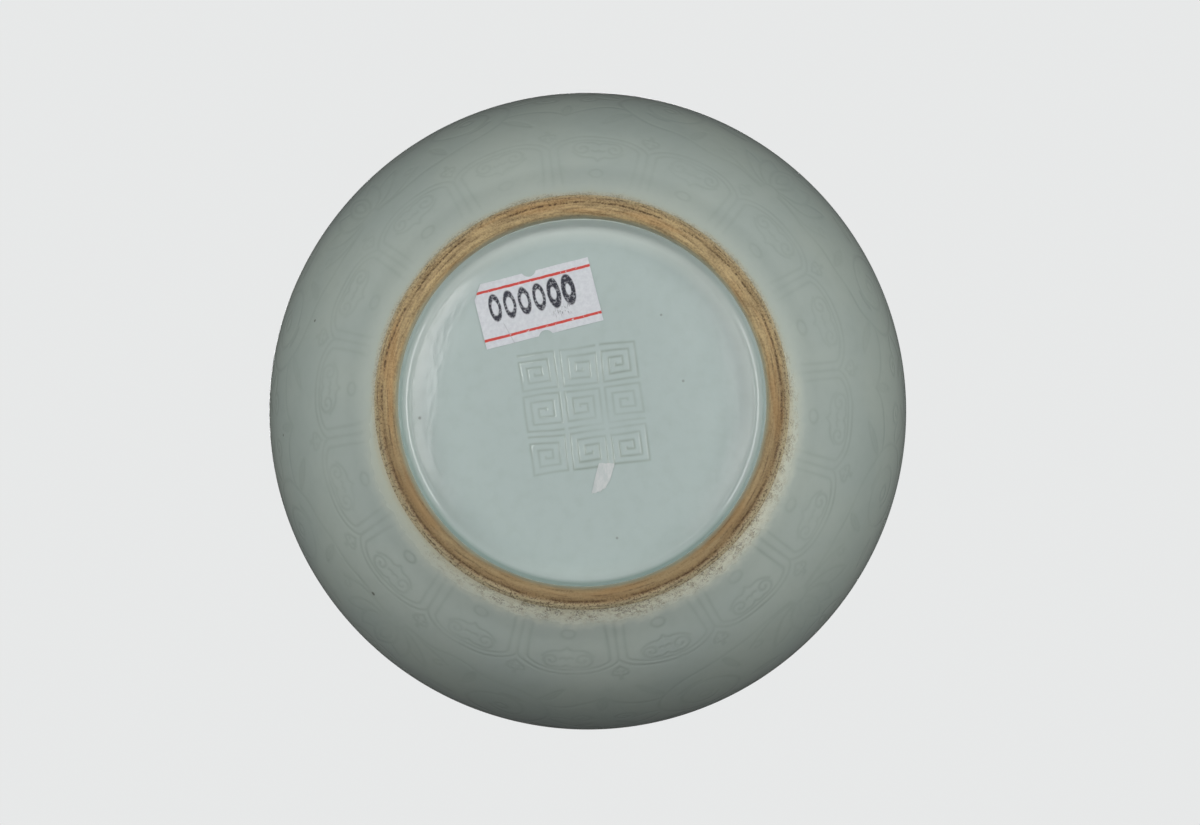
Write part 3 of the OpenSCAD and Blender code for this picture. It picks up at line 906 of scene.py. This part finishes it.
def label_scrap():
    """The scrap: a straight short end, a straight side that leans to a tip, and a bowed, ragged tear."""
    x = np.linspace(SCRAP_LEFT, SCRAP_RIGHT, 60)[None]
    low = np.interp(x, [SCRAP_LEFT, -0.94, SCRAP_RIGHT], [2.6, -2.9, -2.9]) + 0.05 * np.sin(x * 5)
    tear_x = [SCRAP_LEFT, -0.7, 0.36, 1.2, 1.7, SCRAP_RIGHT]
    tear = np.interp(x, tear_x, [2.9, 2.45, 1.67, 0.2, -1.5, -2.6])
    tear = np.maximum(tear + 0.08 * np.sin(x * 7.0) + 0.05 * np.sin(x * 17.0 + 1), low + 0.1)

    def lift(x, y):
        return 0.02 + 0.02 * np.sin(x * 2 + y)

    return slab("label_scrap", "label_scrap", scrap, x, low, tear, lift, turned_to(SCRAP_AT, 0.0), 70)


lappet_glaze()
scroll_glaze()
shoulder_glaze()
inner_glaze()
base_glaze()
foot_ring()
paper_label()
label_scrap()


# Stage, light and camera

scene = bpy.context.scene
scene.view_settings.view_transform = "Standard"
PALE = (0.80, 0.81, 0.81)
FLOOR_HALF, FLOOR_CELLS, FLOOR_NEAR, FLOOR_FAR = 6.0, 24, 0.12, 0.75
FLOOR_HOLE_IN, FLOOR_HOLE_OUT = 0.0365, 0.0375


def floor_finish():
    """A pale floor that takes the object's shadow near it, fades to the backdrop's tone far off, and is
    clear from below and inside the foot."""
    made = bpy.data.materials.new("pale_floor")
    made.use_nodes = True
    tree = made.node_tree
    tree.nodes.clear()
    wire = Wire(tree)
    x, y, _ = wire.metres().parts()
    radius = (x * x + y * y) ** 0.5
    tone = wire.metres().noise(40, 2).mix(tuple(c * 0.97 for c in PALE), PALE)
    lit = wire.node("ShaderNodeBsdfDiffuse", None, {"Color": tone})
    shown = wire.node("ShaderNodeEmission", None, {"Color": (*PALE, 1.0), "Strength": 1.0})
    far = radius.step(FLOOR_NEAR, FLOOR_FAR)
    front = wire.node("ShaderNodeMixShader", None, {0: far, 1: lit, 2: shown})
    below = wire.node("ShaderNodeNewGeometry", None, None, "Backfacing")
    gone = below.larger(radius.step(FLOOR_HOLE_OUT, FLOOR_HOLE_IN))
    clear = wire.node("ShaderNodeBsdfTransparent")
    both = wire.node("ShaderNodeMixShader", None, {0: gone, 1: front, 2: clear})
    wire.node("ShaderNodeOutputMaterial", None, {0: both})
    return made


def floor():
    """A flat square grid at the height that the foot rests on: (x, y, 0), x and y evenly spaced."""
    n = FLOOR_CELLS + 1
    x, y = np.meshgrid(*[np.linspace(-FLOOR_HALF, FLOOR_HALF, n)] * 2)
    points = np.stack([x, y, 0 * x], -1).reshape(-1, 3)
    i, j = np.arange(FLOOR_CELLS)[:, None], np.arange(FLOOR_CELLS)[None]
    quads = np.stack([i * n + j, i * n + j + 1, (i + 1) * n + j + 1, (i + 1) * n + j], -1).reshape(-1, 4)
    mesh = bpy.data.meshes.new("floor")
    mesh.from_pydata(points.tolist(), [], quads.tolist())
    mesh.materials.append(floor_finish())
    obj = bpy.data.objects.new("floor", mesh)
    bpy.context.collection.objects.link(obj)
    obj.visible_diffuse = obj.visible_transmission = obj.visible_shadow = False


def softbox(name, way, distance, size, level, glossy=True, diffuse=True):
    """A soft lamp in a direction from the bowl, aimed at it. At its distance it lights a facing surface so
    that white paper shows as white times the level: power = level pi^2 distance^2. A lamp that is not
    diffuse is only mirrored in the glaze, and one that is not glossy is not mirrored."""
    lamp = bpy.data.lights.new(name, "AREA")
    lamp.shape, lamp.size, lamp.size_y = "RECTANGLE", *size
    lamp.energy = level * math.pi**2 * distance**2
    obj = bpy.data.objects.new(name, lamp)
    bpy.context.collection.objects.link(obj)
    obj.location = Vector((0, 0, 0.03)) + Vector(way).normalized() * distance
    obj.rotation_euler = Vector(way).to_track_quat("Z", "Y").to_euler()
    obj.visible_camera, obj.visible_glossy, obj.visible_diffuse = False, glossy, diffuse


def lamps():
    """Lamps that light the bowl from below, cards and a panel beside the lens that the edge of the base
    mirrors, and lamps for the views of the upright bowl."""
    softbox("left_softbox", (-0.8, -0.08, -0.6), 1.1, (1.1, 0.36), 0.53)
    softbox("right_softbox", (0.8, -0.1, -0.6), 1.1, (1.1, 0.36), 0.58)
    softbox("front_softbox", (0.02, -0.36, -1.0), 1.0, (0.4, 0.4), 0.225, glossy=False)
    softbox("left_card", (-0.192, -0.038, -1.0), 1.0, (0.09, 0.185), 0.024, diffuse=False)
    softbox("upper_left_card", (-0.139, -0.14, -1.0), 1.0, (0.09, 0.15), 0.024, diffuse=False)
    softbox("right_card", (0.133, -0.046, -1.0), 1.0, (0.15, 0.178), 0.023, diffuse=False)
    softbox("lower_right_card", (0.092, 0.03, -1.0), 1.0, (0.07, 0.12), 0.0045, diffuse=False)
    softbox("low_panel", (0.0, 0.13, -1.0), 1.0, (0.8, 0.1), 0.06, diffuse=False)
    softbox("overhead_softbox", (0.0, -0.05, 1.0), 1.0, (0.45, 0.45), 0.9, glossy=False)
    softbox("top_window", (-0.06, -0.08, 1.0), 1.0, (0.28, 0.17), 0.075, diffuse=False)
    softbox("front_fill", (-0.15, -1.0, 0.3), 1.4, (0.9, 0.9), 0.015, glossy=False)
    softbox("back_fill", (0.1, 1.0, -0.15), 1.4, (0.9, 0.9), 0.05, glossy=False)


def backdrop():
    """A pale backdrop for the camera. The glaze mirrors a pale band level with the eye, a pale patch low
    towards +Y, and dim tones above and below. Everything else gets a dim even fill."""
    world = bpy.data.worlds.new("backdrop")
    scene.world = world
    world.use_nodes = True
    tree = world.node_tree
    tree.nodes.clear()
    wire = Wire(tree)
    _, near, up = wire.node("ShaderNodeTexCoord", None, None, "Generated").parts()
    dim, half = (0.05, 0.05, 0.05), (0.62, 0.63, 0.63)
    stops = [(0.0, dim), (0.36, dim), (0.48, half), (0.52, half), (0.74, dim)]
    tone = wire.node("ShaderNodeValToRGB", {"stops": stops}, {0: up * 0.5 + 0.5})
    tone = (near.step(0.1, 0.45) * up.step(-0.2, -0.4)).mix(tone, PALE)
    rays = ("Is Camera Ray", "Is Glossy Ray", "Is Transmission Ray")
    camera_ray, glossy_ray, clear_ray = (wire.node("ShaderNodeLightPath", None, None, k) for k in rays)
    tone = camera_ray.mix(tone, PALE)
    shown = wire.node("ShaderNodeBackground", None, {"Color": tone, "Strength": 1.0})
    fill = wire.node("ShaderNodeBackground", None, {"Color": (0.95, 0.98, 1.0, 1.0), "Strength": 0.04})
    seen = (camera_ray + glossy_ray + clear_ray).clamped()
    both = wire.node("ShaderNodeMixShader", None, {0: seen, 1: fill, 2: shown})
    wire.node("ShaderNodeOutputWorld", None, {0: both})


def camera():
    """The photograph's view: from under the foot, straight up but for a small tilt, from almost 1 m."""
    tilt, swing = math.radians(2.40477), math.radians(59.1189)
    aim, distance = Vector((3.431, 1.991, 0.0)), 968
    sensor, focal_px, photo_px = 36.0, 5165, 1200
    back = Vector((math.sin(tilt) * math.cos(swing), math.sin(tilt) * math.sin(swing), -math.cos(tilt)))
    right = Vector((0, -1, 0)).cross(back).normalized()
    up = back.cross(right)
    lens = bpy.data.cameras.new("camera")
    lens.sensor_fit, lens.sensor_width, lens.lens = "HORIZONTAL", sensor, focal_px / photo_px * sensor
    lens.clip_start, lens.clip_end = 0.05, 50.0
    obj = bpy.data.objects.new("camera", lens)
    bpy.context.collection.objects.link(obj)
    spot = (aim + back * distance) * MM
    obj.matrix_world = Matrix.Translation(spot) @ Matrix((right, up, back)).transposed().to_4x4()
    scene.camera = obj


floor()
lamps()
backdrop()
camera()
